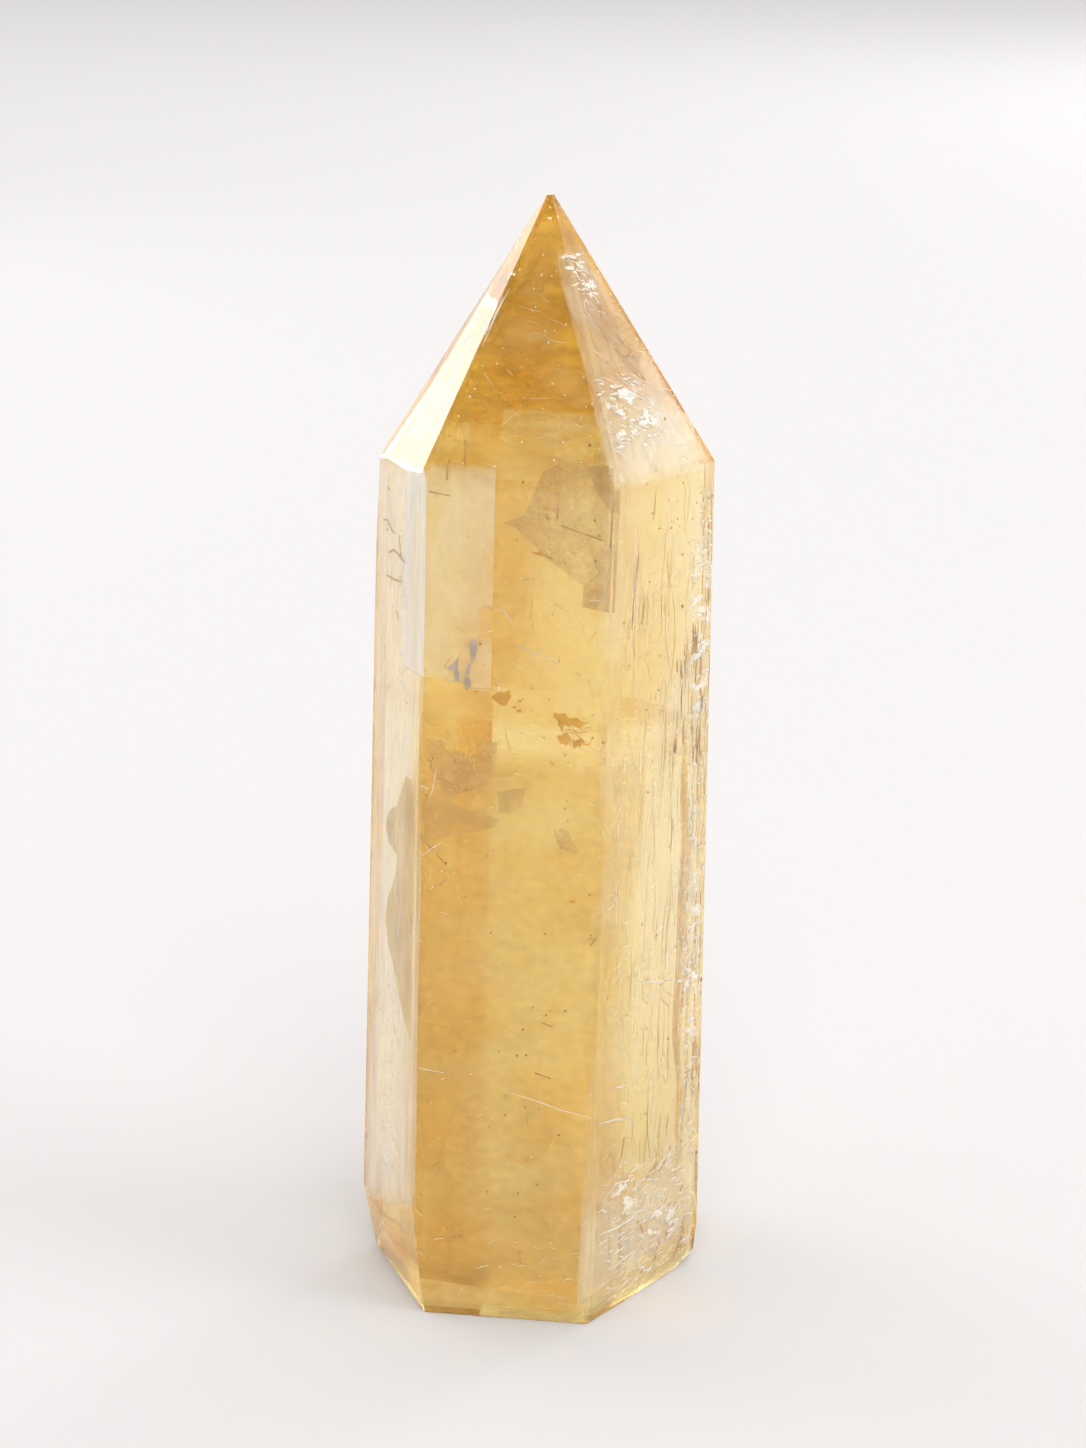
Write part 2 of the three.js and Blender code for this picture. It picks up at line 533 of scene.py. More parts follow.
def make_point_veils():
    """Wisps of gold cloud laid across the point."""
    shape = Shape()

    def thicker_upwards(point):
        return 0.6 + 0.3 * smooth((point.z - 79) / 9)

    for seed, facet in enumerate(POINT_FACETS):
        strength = 0.35 if facet == POINT_RIGHT else thicker_upwards
        cloud_films(shape, facet, (1.5,), POINT_FOOT, 99, strength, 60 + seed * 5)
    cloud_films(shape, POINT_FRONT, (3.0,), POINT_FOOT, 99, thicker_upwards, 58)
    for seed, height in enumerate((81, 87, 93)):
        tilt = 0.12 * math.sin(seed * 2.1)
        level_sheet(shape, height, 0.15 + tilt, 0.1 * math.cos(seed * 1.7), 0.25, wave=0.9, seed=40 + seed)
    gold = veil("gold_veil", (0.70, 0.40, 0.02), (0.93, 0.63, 0.10), 4, clear=0.2, seed=12.0,
                stretch=(1.8, 1.2, 0.6), least=0.3, colour_size=4)
    make_piece("point_veils", shape, gold, smooth_faces=True)


def make_wisps():
    """Creamy wisps that drift across the point, the upper front and the right face."""
    shape = Shape()
    for seed, facet in enumerate(POINT_FACETS, start=90):
        strength = 0.9 if facet == POINT_RIGHT else 0.4
        cloud_films(shape, facet, (0.7,), 76, 97, strength, seed)
    cloud_films(shape, RIGHT, (0.6,), 0, 15, 0.9, 99, side_fade=0.05)
    cloud_films(shape, FRONT, (1.0,), 62, COLUMN_TOP, 0.3, 97)
    patch(shape, POINT_FRONT, TIP_FLAKE, 0.5, 0.9)
    cloud_films(shape, RIGHT, (0.9,), 4, COLUMN_TOP, 0.5, 98)
    cream = veil("wisp_veil", (1.0, 0.88, 0.52), (1.0, 0.95, 0.74), 4.5, clear=0.3, seed=75.0,
                 stretch=(1.5, 1.2, 0.6), low=0.5, high=0.72)
    make_piece("wisps", shape, cream, smooth_faces=True)


def make_pale_veils():
    """Pale streaky films under the left and right faces, the sliver, the point and the upper back left."""
    shape = Shape()
    film(shape, LEFT, 0.6, 2, 78, 0.8, wave=0.05, seed=51, side_fade=0.05, fade=0.4)
    cloud_films(shape, RIGHT, (0.8,), 2, 78, 0.42, 52, side_fade=0.05)
    cloud_films(shape, POINT_RIGHT, (0.8,), 76, 88, 1.1, 56)
    film(shape, SLIVER, 0.3, 59.5, 78, 1.0, side=4, width=5, wave=0.0, seed=50, side_fade=0.02, fade=0.2,
         cell=0.5, inset=0.15)
    film(shape, BACK_LEFT, 0.5, FRACTURE_HEIGHT - 4, 86, 0.45, wave=0.02, seed=53, side_fade=0.5, fade=0.5)
    pale = veil("pale_veil", (1.0, 0.98, 0.93), (1.0, 1.0, 1.0), 3, clear=0.1, seed=15.0,
                stretch=(1, 1, 9), low=0.2, least=0.3)
    make_piece("pale_veils", shape, pale, smooth_faces=True)


CORNER_EDGE = -3.1  # the right-hand border of the pale corner, across the front
CORNER_WIDTH = 12  # more than reaches the left edge of the front
CORNER_NOTCH = 64.6  # the height of the notch in that border


def make_pale_and_painted_light_films():
    """The pale corner high on the left of the front, and painted cream light low on the right and on the
    point.
    """
    shape = Shape()

    def notched(point):
        above_fracture = smooth((point.z - 58.4 + 0.25 * (point.x + 3.3)) / 0.3)
        notch = 0.4 + 0.6 * smooth((abs(point.z - CORNER_NOTCH) - 1.3) / 0.5) if point.x > -4.3 else 1
        return 0.85 * smooth((82 - point.z) / 6) * above_fracture * notch

    film(shape, FRONT, 1.2, 57.5, 83, notched, side=CORNER_EDGE - CORNER_WIDTH / 2, width=CORNER_WIDTH,
         wave=0.0, seed=54, side_fade=0, fade=0.5, cell=0.5)

    def at_foot(point):
        return 0.85 * smooth((15 - point.z) / 7)

    # Painted light: a cream film that lightens the right face towards its foot.
    film(shape, RIGHT, 0.9, 0, 16, at_foot, wave=0.1, seed=55, side_fade=0, fade=0.4)
    # Painted light: a cream film that lightens the right point facet.
    film(shape, POINT_RIGHT, 0.9, 75, 97, 0.5, wave=0.1, seed=56, side_fade=0.1, fade=0.4)
    cream = veil("pale_and_painted_light_film", (1.0, 0.92, 0.68), (1.0, 0.98, 0.86), 5, clear=0.25, seed=61.0,
                 stretch=(1, 1, 1.3), low=0.2, high=0.8, least=0.55)
    make_piece("pale_and_painted_light_films", shape, cream, smooth_faces=True)


def bloom(shape, facet, depth, across, height, width, rise, strength, seed=57):
    """A patch under a facet that thins out all round: cloud, or painted glow."""
    film(shape, facet, depth, height - rise / 2, height + rise / 2, strength, side=across, width=width,
         wave=0.0, seed=seed, side_fade=1.0, fade=0.2, cell=0.5, inset=0.2)


# Where cloud gathers, or painted glow lies, under a facet: (across, height, width, rise) in millimetres.
POINT_RIGHT_PAINTED_GLOWS = ((-1.6, 83.2, 7.0, 4.4), (0.8, 82.0, 5.0, 4.0), (-2.5, 80.8, 5.0, 3.0),
                      (0.0, 92.4, 2.6, 3.6), (0.2, 94.4, 2.0, 2.0))
RIGHT_PAINTED_GLOWS = ((-2.5, 11.0, 7.0, 9.0), (3.0, 6.0, 11.0, 9.0), (6.8, 30, 4.0, 36), (6.5, 62, 5.0, 32))
FRONT_AMBER = ((-6.5, 27, 10, 34), (-7, 10, 10, 22), (-4, 50, 16, 9), (-1.5, 68, 5, 24), (3, 12, 12, 18))
POINT_FRONT_AMBER = ((-0.5, 94, 6, 10), (-1.5, 88.5, 9, 6), (2, 84.5, 7, 5))


def make_painted_glows():
    """Painted glow, ragged and white: crowded on the right, at its foot and in the point, and a few on the
    left.
    """
    shape = Shape()
    # Painted glow and glints: white patches on the right point facet and on the right face.
    for place in POINT_RIGHT_PAINTED_GLOWS:
        bloom(shape, POINT_RIGHT, 0.3, *place, 2.2)
    for place in RIGHT_PAINTED_GLOWS:
        bloom(shape, RIGHT, 0.3, *place, 1.5)
    bloom(shape, LEFT, 0.4, 2.5, 66, 4.0, 26, 1.0)
    bloom(shape, LEFT, 0.4, 1.0, 20, 6.0, 34, 0.8)
    # White films that stand for glow, a painted highlight.
    white = veil("painted_glow", (1.0, 0.98, 0.90), (1.0, 1.0, 1.0), 0.9, clear=0.1, seed=33.0,
                 stretch=(2.0, 2.0, 1.2), low=0.5, high=0.6)
    make_piece("painted_glows", shape, white, smooth_faces=True)


def make_amber():
    """Deeper amber zones: in the front, the left and the back, beside the pale corner and in the tip."""
    shape = Shape()
    for place in FRONT_AMBER:
        bloom(shape, FRONT, 1.7, *place, 0.6, seed=70)
    for place in POINT_FRONT_AMBER:
        bloom(shape, POINT_FRONT, 1.2, *place, 0.9, seed=71)

    def beside_corner(point):
        return 0.85 * smooth(1 - (point.x - CORNER_EDGE) / 7)

    film(shape, FRONT, 1.4, 59, 77, beside_corner, side=CORNER_EDGE + 3.5, width=7, wave=0.0, seed=73,
         side_fade=0, fade=1.0, cell=0.5)
    for facet, across in ((BACK_RIGHT, -2), (BACK_LEFT, 3)):
        bloom(shape, facet, 1.7, across, 24, 12, 36, 0.7, seed=72)
    bloom(shape, LEFT, 0.9, -1.0, 32, 9, 26, 0.55, seed=74)
    amber = veil("amber_veil", (0.86, 0.56, 0.12), (0.98, 0.73, 0.26), 5, clear=0.4, seed=44.0,
                 stretch=(1.3, 1.3, 1.0), low=0.2, high=0.75, least=0.35)
    make_piece("amber_zones", shape, amber, smooth_faces=True)


# ---- Things caught in the quartz, and painted glints and reflection ---------------------------

# Everything here lies close under a facet. Places are (across, height) pairs in millimetres, with
# across counted to the right of the stone's axis as one looks at the facet.


def plain_look(name, dark, light, roughness=0.6, size=0.6):
    """A surface whose colour wanders between two, with patches about `size` mm across."""
    look = Look(name, roughness=roughness)
    patches = look.grain(size, len(name), detail=3)
    look.put(look.colours(patches, (0.3, dark), (0.7, light)), "Base Color")
    return look.material


def stroke(shape, facet, path, depth, radius):
    """A thin strand under a facet, along (across, height) places."""
    strand(shape, [on_facet(facet, across, height, depth) for across, height in path], radius)


def patch(shape, facet, outline, depth, strength):
    """A flat see-through flake under a facet, with the given outline."""
    points = [on_facet(facet, across, height, depth) for across, height in outline]
    shape.add(points, [list(range(len(points)))], strength)


STROKE_STEP = 0.7  # mm between the points of a random stroke
STROKE_TREMOR = 0.012  # mm by which each of them strays
STROKE_COVER = 0.1  # mm of stone that lies over every stroke


def hatch(shape, rng, facet, across, height, count, length, lean, spread, radius, depth=(0.15, 0.6)):
    """Random strokes under a facet, between two limits each way, leaning about `lean` degrees.

    across, height, length, radius and depth are (least, most) pairs in millimetres.
    """
    for _ in range(count):
        x, z = rng.uniform(*across), rng.uniform(*height)
        reach = rng.uniform(*length)
        angle = math.radians(rng.gauss(lean, spread))
        bend = rng.gauss(0, 0.05) * reach
        steps = max(3, round(reach / STROKE_STEP))
        path = []
        for i in range(steps + 1):
            t = i / steps - 0.5
            off = bend * (1 - 4 * t * t) + rng.gauss(0, STROKE_TREMOR)
            path.append((x + reach * t * math.cos(angle) - off * math.sin(angle),
                         z + reach * t * math.sin(angle) + off * math.cos(angle)))
        below = rng.uniform(*depth)
        points = [on_facet(facet, *place, below) for place in path]
        if min(depth_below(point) for point in points) > STROKE_COVER:
            strand(shape, points, rng.uniform(*radius), sides=4)


def scatter(shape, rng, count, heights, depths, sizes):
    """Tiny grains at random places between two heights and two depths below the facets."""
    for _ in range(count):
        pebble(shape, inside(rng, *heights, *depths), rng.uniform(*sizes), rng)


def make_specks():
    """Brown mineral grains close under every face of the stone."""
    rng = random.Random(11)
    shape = Shape()
    scatter(shape, rng, 700, (2, 78), (0.15, 1.8), (0.05, 0.14))
    scatter(shape, rng, 60, (2, 90), (0.2, 1.8), (0.12, 0.2))
    make_piece("mineral_specks", shape, plain_look("speck", (0.28, 0.13, 0.03), (0.55, 0.30, 0.08)))


def make_bubbles():
    """Pinpoint bubbles, crowded in the point and thinner in the column."""
    rng = random.Random(12)
    shape = Shape()
    scatter(shape, rng, 200, (78, 98), (0.2, 1.2), (0.05, 0.15))
    scatter(shape, rng, 300, (2, 78), (0.15, 1.6), (0.04, 0.11))
    make_piece("bubbles", shape, plain_look("bubble", (1, 0.97, 0.9), (1, 1, 1), roughness=0.3))


SQUIGGLES = (((-3.5, 71.4), (-2.3, 71.6), (-1.1, 71.0), (0.0, 70.9)),
             ((-1.9, 68.8), (-0.2, 69.4), (1.3, 69.2), (2.7, 68.9)),
             ((-2.3, 66.7), (0.3, 66.8), (2.1, 67.1)),
             ((1.0, 71.0), (1.6, 69.2)), ((0.4, 64.1), (1.4, 63.6)), ((-2.4, 74.6), (-1.8, 74.4)))
POINT_MARKS = (((-7.2, 78.4), (-7.2, 77.0)), ((-5.9, 80.2), (-5.8, 78.1)))
FRONT_MARKS = (((2.3, 76.5), (2.3, 74.1)), ((2.6, 73.6), (6.2, 72.5)), ((7.0, 76.0), (6.9, 71.8)),
               ((0.1, 71.2), (2.0, 70.7)), ((-8.7, 76.0), (-6.9, 75.7)),
               ((6.0, 36.9), (6.8, 36.7)), ((6.2, 36.2), (6.9, 37.2)), ((2.1, 28.7), (3.1, 28.4)),
               ((1.6, 23.9), (3.0, 23.5)), ((-9.0, 45.3), (-7.9, 44.1)), ((-7.6, 43.8), (-6.7, 42.9)))
RIGHT_MARK = ((-3.2, 70.7), (-3.6, 67.7), (-3.9, 64.4))


def make_brown_fibres():
    """Rust-brown growth fibres: upright ones under the side faces, squiggles high on the left face."""
    rng = random.Random(13)
    shape = Shape()
    hatch(shape, rng, RIGHT, (-5, 8), (12, 75), 70, (0.8, 5), 88, 5, (0.02, 0.06))
    hatch(shape, rng, RIGHT, (-4, 7.5), (16, 70), 40, (4, 14), 89, 1.5, (0.02, 0.045))
    hatch(shape, rng, RIGHT, (3, 7.5), (50, 62), 26, (1, 4.5), 88, 5, (0.04, 0.12))
    hatch(shape, rng, RIGHT, (-4, 7), (2, 16), 24, (0.5, 2.5), 70, 25, (0.04, 0.1))
    hatch(shape, rng, LEFT, (-3, 4), (4, 76), 30, (0.5, 2.5), 80, 20, (0.02, 0.05), (0.12, 0.45))
    hatch(shape, rng, FRONT, (-8.5, 6.5), (5, 75), 26, (0.3, 1.4), 45, 60, (0.02, 0.05), (0.2, 1.6))
    hatch(shape, rng, POINT_RIGHT, (-2, 3), (84, 91), 26, (0.4, 2.0), -50, 30, (0.03, 0.09))
    for facet in HIDDEN_FACES:
        hatch(shape, rng, facet, (-7, 7), (4, 74), 40, (0.6, 5), 88, 8, (0.02, 0.06))
    for path in SQUIGGLES:
        stroke(shape, LEFT, path, 0.2, 0.13)
    for path in POINT_MARKS:
        stroke(shape, POINT_FRONT, path, 0.3, 0.1)
    for path in FRONT_MARKS:
        stroke(shape, FRONT, path, 0.5, 0.08)
    stroke(shape, RIGHT, RIGHT_MARK, 0.3, 0.1)
    brown = plain_look("fibre", (0.42, 0.22, 0.05), (0.72, 0.46, 0.15), size=3.0)
    make_piece("brown_fibres", shape, brown, smooth_faces=True)


FRONT_CRACKS = (((-1.0, 22.0), (1.5, 21.4), (4.0, 20.6), (6.8, 20.0)), ((-8.9, 23.7), (-6.6, 23.4)),
                ((-7.7, 51.6), (-7.8, 50.8), (-8.0, 49.6), (-8.3, 49.0)), ((-9.0, 50.0), (-8.3, 49.7)),
                ((-9.0, 43.5), (-8.0, 44.3), (-7.1, 45.0)), ((-7.8, 40.9), (-8.0, 40.5)),
                ((-2.7, 59.5), (-2.3, 59.2), (-2.5, 58.8)), ((-1.0, 63.1), (2.9, 61.5)),
                ((-2.4, 66.3), (-1.1, 64.8)))
RIGHT_CRACKS = (((-6.9, 19.2), (-4.4, 18.8), (-2.3, 18.1)), ((-4.7, 21.9), (-2.6, 21.6)),
                ((-1.4, 31.2), (1.6, 30.2), (3.4, 30.0)), ((-0.2, 29.4), (1.0, 29.2)),
                ((-6.5, 8.2), (-4.0, 7.9), (-1.5, 8.0)), ((-4.8, 3.9), (-3.0, 4.3), (-1.2, 4.6)),
                ((1.0, 6.9), (3.4, 7.4)), ((1.8, 11.6), (3.4, 12.2), (5.0, 12.4)),
                ((6.2, 14.2), (7.6, 14.6)))


GLINT_COVER = 0.15
GLINT_THICKNESS = 0.03


def glints(shape, rng, facet, across, height, count):
    """Painted glints: small white flakes under a facet, which lie almost level and fall a little to the
    right.
    """
    level = Vector((0, 0, 1)).cross(facet[1]) - Vector((0, 0, 0.2))
    for _ in range(count):
        size = rng.uniform(0.3, 1.5)
        place = on_facet(facet, rng.uniform(*across), rng.uniform(*height), rng.uniform(0.2, 0.5))
        if depth_below(place) > GLINT_COVER:
            outline = ragged(rng, size, size * rng.uniform(0.15, 0.4), 7, 0.6)
            facing_out = tilted(rng, facet[1], 0.2)
            plate(shape, place, facing_out, outline, GLINT_THICKNESS, along=tilted(rng, level, 0.2))


def make_cracks_and_painted_glints():
    """Bright hair-cracks and painted glints: crowded low on the right, along the right-hand edge and in the
    point.
    """
    rng = random.Random(15)
    shape = Shape()
    hatch(shape, rng, RIGHT, (-6.5, 8.2), (1, 13), 150, (0.3, 2.2), 6, 10, (0.03, 0.08))
    hatch(shape, rng, RIGHT, (-3.0, 8.2), (0.5, 6), 40, (0.2, 1.5), 40, 12, (0.03, 0.08))
    hatch(shape, rng, RIGHT, (-6.5, 8.2), (13, 45), 70, (0.2, 1.4), 4, 14, (0.015, 0.04))
    hatch(shape, rng, RIGHT, (5.5, 8.4), (14, 75), 120, (0.5, 3.5), 86, 12, (0.03, 0.09))
    hatch(shape, rng, RIGHT, (-6, 8), (20, 75), 60, (0.8, 4), 88, 6, (0.02, 0.05))
    hatch(shape, rng, RIGHT, (-4, 8), (16, 72), 50, (3, 14), 89, 1.5, (0.02, 0.045))
    hatch(shape, rng, POINT_LEFT, (-4, 4), (79, 93), 60, (1.5, 8), 104, 5, (0.02, 0.05))
    hatch(shape, rng, POINT_RIGHT, (-5, 2.6), (79.5, 85.5), 60, (0.4, 2.2), -25, 12, (0.02, 0.06))
    hatch(shape, rng, POINT_RIGHT, (-1.6, 0.6), (90.5, 95), 30, (0.2, 1.0), -60, 50, (0.02, 0.06))
    hatch(shape, rng, POINT_RIGHT, (-3, 6), (77, 92), 40, (0.4, 2), -45, 25, (0.015, 0.04))
    hatch(shape, rng, POINT_FRONT, (-6, 5), (80, 94), 14, (0.6, 2.6), -20, 25, (0.01, 0.022), (0.3, 1.2))
    hatch(shape, rng, FRONT, (-9, 7), (3, 75), 26, (0.2, 1.0), 5, 25, (0.015, 0.035), (0.2, 1.6))
    hatch(shape, rng, FRONT, (-4, 7), (2, 8), 26, (0.2, 1.2), 3, 14, (0.015, 0.05), (0.2, 1.6))
    hatch(shape, rng, LEFT, (-4, 4), (3, 76), 70, (0.5, 4), 88, 6, (0.02, 0.06), (0.12, 0.45))
    for facet in HIDDEN_FACES:
        hatch(shape, rng, facet, (-7, 7), (3, 74), 70, (0.4, 4), 80, 30, (0.02, 0.05))
    for path in FRONT_CRACKS:
        stroke(shape, FRONT, path, 0.3, 0.055)
    for path in RIGHT_CRACKS:
        stroke(shape, RIGHT, path, 0.3, 0.11)
    # Painted glints: white flakes where cracks would catch the light.
    glints(shape, rng, RIGHT, (-6, 8.2), (1, 12), 90)
    glints(shape, rng, RIGHT, (5, 8.4), (12, 74), 70)
    glints(shape, rng, POINT_RIGHT, (-4.5, 2.5), (79.5, 85), 60)
    glints(shape, rng, POINT_RIGHT, (-1.6, 0.6), (90.5, 95), 26)
    # Plain white for cracks, and for painted glints and highlights.
    white = plain_look("bright_crack", (1, 0.98, 0.93), (1, 1, 1), roughness=0.4)
    make_piece("cracks_and_painted_glints", shape, white, smooth_faces=True)


# Outlines of the flakes that show in the photograph, as (across, height) pairs.
# The box-like patch, with its corner and foot, is a painted internal reflection, not a flake.
PAINTED_BOX_REFLECTION = ((0.9, 77.9), (2.3, 78.7), (3.8, 78.6), (6.4, 78.7), (6.9, 77.4), (7.1, 74.6), (7.0, 72.6),
             (6.9, 66.1), (4.6, 66.5), (4.6, 68.4), (1.5, 70.5), (-1.3, 73.1), (-2.4, 73.5), (-0.6, 74.2))
PAINTED_BOX_REFLECTION_CORNER = ((4.8, 78.3), (6.9, 78.5), (7.2, 74.6), (6.5, 75.1), (5.2, 77.0))
PAINTED_BOX_REFLECTION_FOOT = ((4.9, 71.7), (7.1, 72.1), (6.9, 66.1), (4.6, 66.5), (4.7, 68.4), (5.9, 69.5))
OUTLINE_PATCH = ((2.6, 46.6), (3.3, 46.8), (4.0, 46.5), (4.3, 45.7), (5.0, 44.8), (4.5, 44.5), (3.3, 44.9),
                 (2.9, 45.7))
LENS_PATCH = ((-8.6, 54.2), (-7.3, 54.0), (-6.8, 53.2), (-4.2, 52.9), (-3.3, 54.0), (-2.4, 54.2),
              (-2.7, 51.1), (-4.1, 49.8), (-6.9, 49.1), (-8.4, 51.6))
LOWER_LENS = ((-8.9, 48.6), (-8.0, 49.0), (-2.1, 47.2), (-2.6, 46.4), (-6.8, 45.3), (-9.0, 44.6))
GREY_PATCH = ((-2.4, 49.7), (0.1, 50.2), (-0.1, 48.6), (-1.2, 47.8), (-2.1, 47.9))
BULGE = ((4.0, 50.0), (2.9, 48.3), (1.6, 46.6), (-0.5, 45.3), (-1.3, 44.3), (-1.4, 43.4), (-0.4, 42.3),
         (2.0, 41.9), (1.8, 40.4), (0.8, 38.8), (-0.6, 36.8), (-1.0, 35.1), (-0.3, 32.8), (1.6, 31.0),
         (4.2, 28.0), (6.4, 26.0), (6.4, 50.0))
SMUDGES = (((-7.0, 60.5), (-6.4, 61.1), (-5.9, 61.7), (-6.0, 60.7), (-5.8, 59.4), (-6.2, 59.5),
            (-6.4, 60.4)),
           ((-5.0, 62.5), (-4.8, 63.4), (-4.3, 63.0), (-4.5, 61.6), (-4.9, 61.3)),
           ((-5.5, 59.7), (-5.2, 60.0), (-4.8, 59.6), (-5.0, 58.8), (-5.3, 58.7)),
           ((-5.2, 61.0), (-4.7, 61.2), (-5.0, 60.2), (-5.3, 60.1)))
BROWN_FLAKES = (((-0.1, 89.5), (2.7, 89.8), (3.6, 89.1), (0.9, 88.4), (-0.6, 87.4), (-0.8, 88.6)),
                ((0.4, 87.7), (3.6, 88.1), (3.9, 86.5), (1.7, 85.5), (0.5, 86.8)))
TIP_FLAKE = ((-1.6, 90.6), (-1.3, 90.3), (-1.0, 90.8), (-0.7, 90.5), (-0.3, 90.5), (-0.5, 90.1),
             (-0.5, 89.8), (-0.9, 90.0), (-1.2, 89.8), (-1.2, 90.2))


def make_crack_and_reflection_films():
    """Thin brownish films: a box-like painted reflection high in front, and cracks such as the lens below
    it.
    """
    shape = Shape()
    # Painted reflection: the box-like patch, its corner and its foot.
    patch(shape, FRONT, PAINTED_BOX_REFLECTION, 1.3, 0.5)
    patch(shape, FRONT, PAINTED_BOX_REFLECTION_CORNER, 1.2, 0.6)
    patch(shape, FRONT, PAINTED_BOX_REFLECTION_FOOT, 1.2, 0.4)
    patch(shape, FRONT, OUTLINE_PATCH, 0.8, 0.5)
    patch(shape, FRONT, LENS_PATCH, 0.9, 0.5)
    patch(shape, FRONT, LOWER_LENS, 0.9, 0.35)
    patch(shape, FRONT, GREY_PATCH, 0.9, 0.4)
    for outline in BROWN_FLAKES:
        patch(shape, POINT_RIGHT, outline, 0.5, 0.55)
    brown = veil("brown_film", (0.58, 0.38, 0.17), (0.76, 0.54, 0.28), 1.6, clear=0.2, seed=21.0,
                 low=0.25, high=0.6, least=0.4, colour_size=1.5)
    make_piece("crack_and_reflection_films", shape, brown)


def make_smudges():
    """Blue-grey smudges low in the pale corner."""
    shape = Shape()
    for outline in SMUDGES:
        patch(shape, FRONT, outline, 0.8, 1.0)
    grey = veil("grey_smudge", (0.34, 0.33, 0.36), (0.60, 0.57, 0.56), 1.2, clear=0.1, seed=23.0,
                stretch=(1, 1, 1.5), high=0.6, least=0.35, colour_size=1.2)
    make_piece("grey_smudges", shape, grey)


def make_bulge():
    """The honey-brown shadow that bulges into the left face at half height."""
    shape = Shape()
    patch(shape, LEFT, BULGE, 0.4, 0.8)
    brown = veil("bulge_veil", (0.70, 0.50, 0.18), (0.92, 0.72, 0.36), 3, clear=0.2, seed=27.0,
                 stretch=(1, 1, 2), low=0.2, high=0.6, least=0.6, colour_size=3)
    make_piece("left_bulge", shape, brown)


def jagged(rng, outline, roughness):
    """An outline with torn teeth added along each of its sides."""
    torn = []
    for (x0, z0), (x1, z1) in zip(outline, outline[1:] + outline[:1]):
        torn.append((x0, z0))
        for t in (0.33, 0.67):
            push = rng.uniform(-roughness, roughness)
            x = x0 + (x1 - x0) * t + push * (z1 - z0)
            z = z0 + (z1 - z0) * t - push * (x1 - x0)
            torn.append((x, z))
    return torn


RUST_FLAKES = (((-3.0, 58.3), (-2.0, 58.8), (-1.5, 59.0), (-1.3, 58.4), (-1.5, 57.8), (-2.3, 57.6),
                (-2.7, 58.0)),
               ((2.5, 57.2), (3.0, 57.1), (4.1, 56.8), (5.1, 56.4), (4.4, 56.0), (3.6, 56.1), (3.1, 55.6),
                (2.8, 56.0)),
               ((2.9, 55.2), (3.6, 55.5), (3.8, 54.5), (3.1, 54.3)),
               ((4.1, 54.7), (5.3, 54.7), (4.5, 54.3), (4.2, 54.1)))
RUST_THICKNESS = 0.06
SMALL_RUST = ((-4.4, 58.6), (-1.0, 57.3), (-0.6, 57.9))
LONG_RUST = ((1.3, 74.9), (0.8, 71.0), (4.5, 40.0), (-0.6, 57.0))


def make_rust():
    """Iron-stained flakes in the mid-height fracture and a spray of them below it."""
    rng = random.Random(14)
    shape = Shape()

    def crumb(x, z, width, height):
        facing_out = tilted(rng, FRONT[1], 0.25)
        outline = ragged(rng, width, height, 11, 0.55)
        plate(shape, on_facet(FRONT, x, z, 1.3), facing_out, outline, RUST_THICKNESS)

    for outline in RUST_FLAKES:
        x = sum(place[0] for place in outline) / len(outline)
        z = sum(place[1] for place in outline) / len(outline)
        around = tuple((a - x, b - z) for a, b in outline)
        facing_out = tilted(rng, FRONT[1], 0.12)
        plate(shape, on_facet(FRONT, x, z, 0.5), facing_out, jagged(rng, around, 0.3), RUST_THICKNESS)
    for x, z in SMALL_RUST:
        crumb(x, z, 0.5, 0.35)
    hatch(shape, rng, FRONT, (3.2, 5.8), (54.0, 55.4), 12, (0.5, 1.6), -35, 25, (0.02, 0.05), (0.7, 1.1))
    hatch(shape, rng, FRONT, (3.4, 5.6), (55.4, 56.6), 8, (0.5, 1.8), -15, 15, (0.02, 0.05), (0.7, 1.1))
    for x, z in LONG_RUST:
        crumb(x, z, 0.9, 0.4)
    make_piece("rust_flakes", shape, plain_look("rust", (0.66, 0.33, 0.01), (0.90, 0.54, 0.08), size=1.2))


# ---- Floor and light --------------------------------------------------------------------------


FLOOR_RADIUS = 12  # metres
FLOOR_DROP = 0.05  # mm below the stone's base, so that the two never share a plane
FLOOR_COLOUR = (0.42, 0.411, 0.41, 1)


def make_floor():
    """A plain pale floor that reaches past everything the camera sees."""
    mesh = bpy.data.meshes.new("floor")
    maker = bmesh.new()
    bmesh.ops.create_circle(maker, cap_ends=True, segments=96, radius=FLOOR_RADIUS)
    maker.to_mesh(mesh)
    maker.free()
    floor = bpy.data.objects.new("floor", mesh)
    floor.location.z = -FLOOR_DROP * MM
    bpy.context.scene.collection.objects.link(floor)
    look = Look("pale_paper", roughness=0.7, gloss=0.2)
    look.put(FLOOR_COLOUR, "Base Color")
    mesh.materials.append(look.material)


STUDIO_WHITE = (1.0, 0.98, 0.985, 1)
STUDIO_STRENGTH = 1.52
DIM_STRENGTH = 0.4
DIM_ROOM = (0.0, -0.8, 0.6)  # the way to the dimmer room behind the camera
DIM_FROM = 0.65  # cosines of the angle to it where the dimming starts and is whole
DIM_WHOLE = 0.95


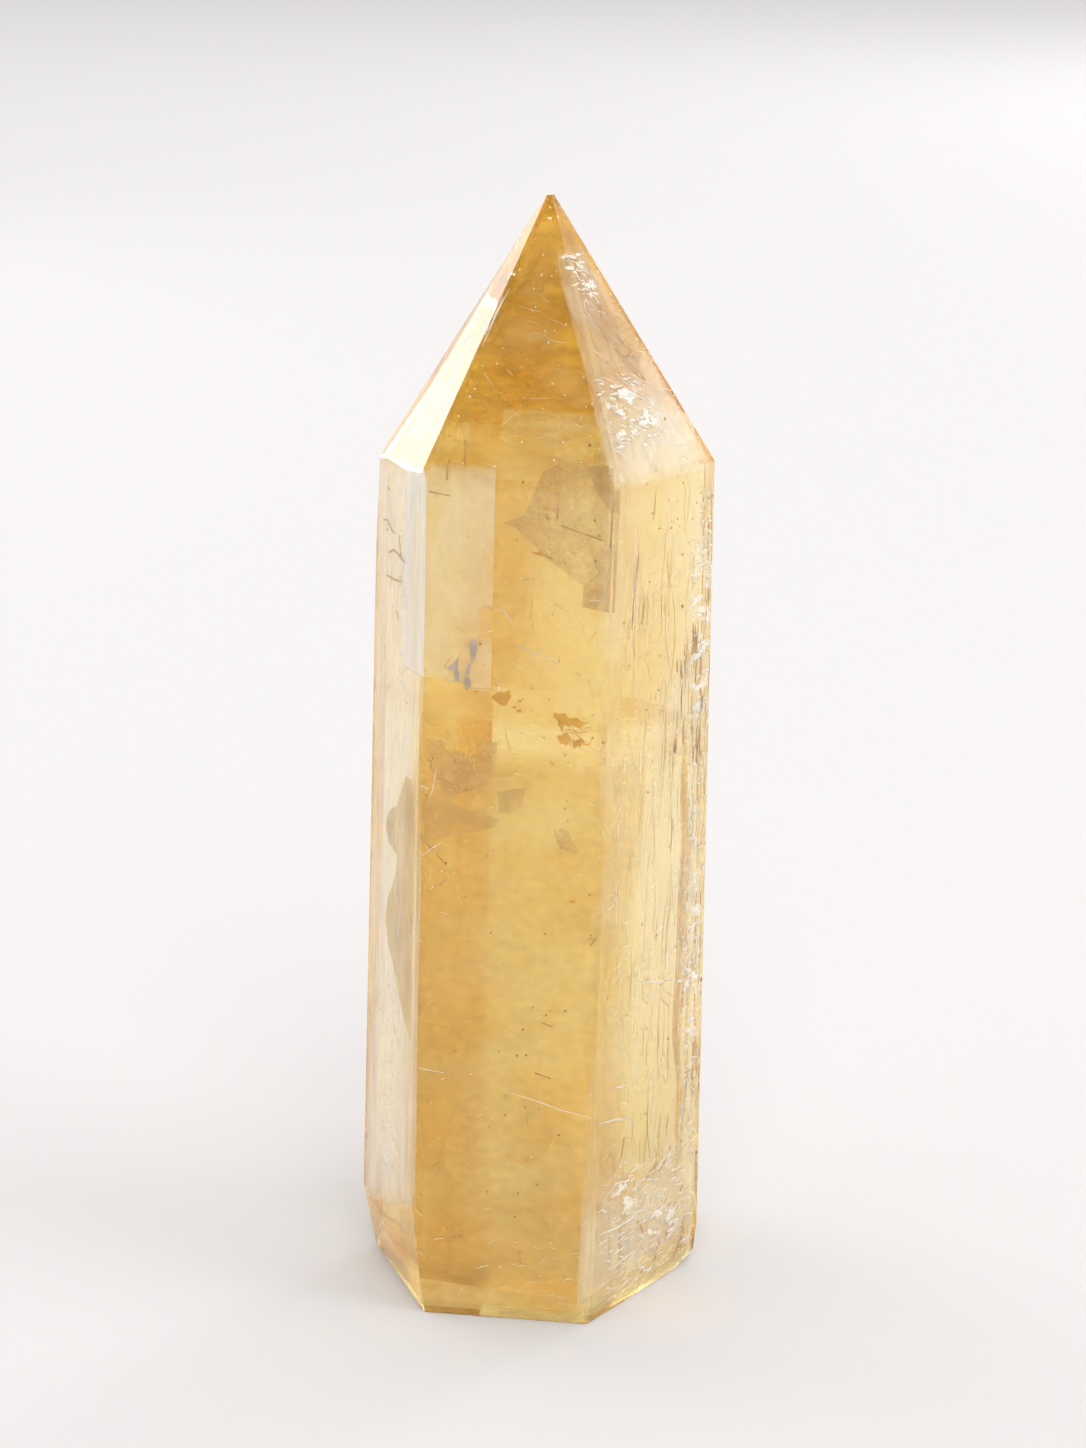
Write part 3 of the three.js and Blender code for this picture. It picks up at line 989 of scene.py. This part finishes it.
def make_world():
    """An evenly lit white studio, dimmer on the side from which the picture is taken."""
    world = bpy.data.worlds.new("studio")
    bpy.context.scene.world = world
    world.use_nodes = True
    background = world.node_tree.nodes["Background"]
    background.inputs["Color"].default_value = STUDIO_WHITE
    nodes, links = world.node_tree.nodes, world.node_tree.links
    direction = nodes.new("ShaderNodeTexCoord")
    towards = nodes.new("ShaderNodeVectorMath")
    towards.operation = "DOT_PRODUCT"
    towards.inputs[1].default_value = DIM_ROOM
    links.new(direction.outputs["Generated"], towards.inputs[0])
    strength = nodes.new("ShaderNodeMapRange")
    strength.interpolation_type = "SMOOTHSTEP"
    strength.inputs["From Min"].default_value = DIM_FROM
    strength.inputs["From Max"].default_value = DIM_WHOLE
    strength.inputs["To Min"].default_value = STUDIO_STRENGTH
    strength.inputs["To Max"].default_value = DIM_STRENGTH
    links.new(towards.outputs["Value"], strength.inputs["Value"])
    links.new(strength.outputs["Result"], background.inputs["Strength"])


MID_STONE = (0, 0, 0.06)  # metres, like all places and sizes of lights


def area_light(name, place, size, power, colour=(1, 1, 1), mirrored=False, towards=MID_STONE):
    """A soft panel aimed at a place; mirrored says whether polished faces show it."""
    data = bpy.data.lights.new(name, "AREA")
    data.shape = "RECTANGLE"
    data.size, data.size_y = size
    data.energy = power
    data.color = colour
    light = bpy.data.objects.new(name, data)
    bpy.context.scene.collection.objects.link(light)
    light.visible_glossy = mirrored
    light.location = place
    light.rotation_euler = (Vector(towards) - Vector(place)).to_track_quat("-Z", "Y").to_euler()
    return light


WINDOW_PLACE = Vector((-0.60, 0.52, 0.12))  # back left of the stone, where the left facets mirror it
WINDOW_SIZE = (0.36, 0.30)
BAND_HEIGHT = 0.04
BAND_POWERS = (0.08, 0.056, 0.04, 0.028, 0.018, 0.010)  # from the window's top edge upwards
GLOW_PLACE = (0.0128, -0.0088, 0.005)  # close over the floor by the stone's right foot
WARM = (1.0, 0.50, 0.10)


def make_lights():
    """Soft studio panels, a window that the left facets mirror, and the warm light the stone throws."""
    area_light("window", WINDOW_PLACE, WINDOW_SIZE, 1.0, mirrored=True)
    for step, power in enumerate(BAND_POWERS):
        rise = (WINDOW_SIZE[1] + BAND_HEIGHT) / 2 + BAND_HEIGHT * step
        place = WINDOW_PLACE + Vector((0, 0, rise))
        area_light(f"window_top_{step}", place, (WINDOW_SIZE[0], BAND_HEIGHT), power, mirrored=True)
    area_light("glow", (-1.9, 0.7, 0.9), (0.9, 0.75), 12.5)
    area_light("right_fill", (1.8, -0.2, 1.0), (1.2, 1.2), 22)
    area_light("front_top", (0.3, -1.2, 1.6), (1.2, 1.2), 27)
    area_light("backdrop", (2.4, 2.6, 1.3), (1.6, 1.6), 14)
    area_light("far_right", (0.9, 1.45, 0.5), (0.6, 0.5), 11, towards=(0.12, 1.2, 0))
    straight_down = (*GLOW_PLACE[:2], 0)
    thrown = area_light("thrown_glow", GLOW_PLACE, (0.004, 0.004), 0.00008, WARM, towards=straight_down)
    thrown.visible_transmission = False


def set_up_rendering():
    """Enough bounces for the films inside the glass, and colours as they are."""
    scene = bpy.context.scene
    scene.view_settings.view_transform = "Standard"
    scene.cycles.transparent_max_bounces = 64
    scene.cycles.max_bounces = 20
    scene.cycles.diffuse_bounces = 3
    scene.cycles.transmission_bounces = 14
    scene.cycles.glossy_bounces = 6


make_camera()
make_world()
make_floor()
make_stone()
make_honey_veils()
make_fracture()
make_point_veils()
make_wisps()
make_pale_veils()
make_pale_and_painted_light_films()
make_painted_glows()
make_amber()
make_specks()
make_bubbles()
make_brown_fibres()
make_cracks_and_painted_glints()
make_crack_and_reflection_films()
make_smudges()
make_bulge()
make_rust()
make_lights()
set_up_rendering()
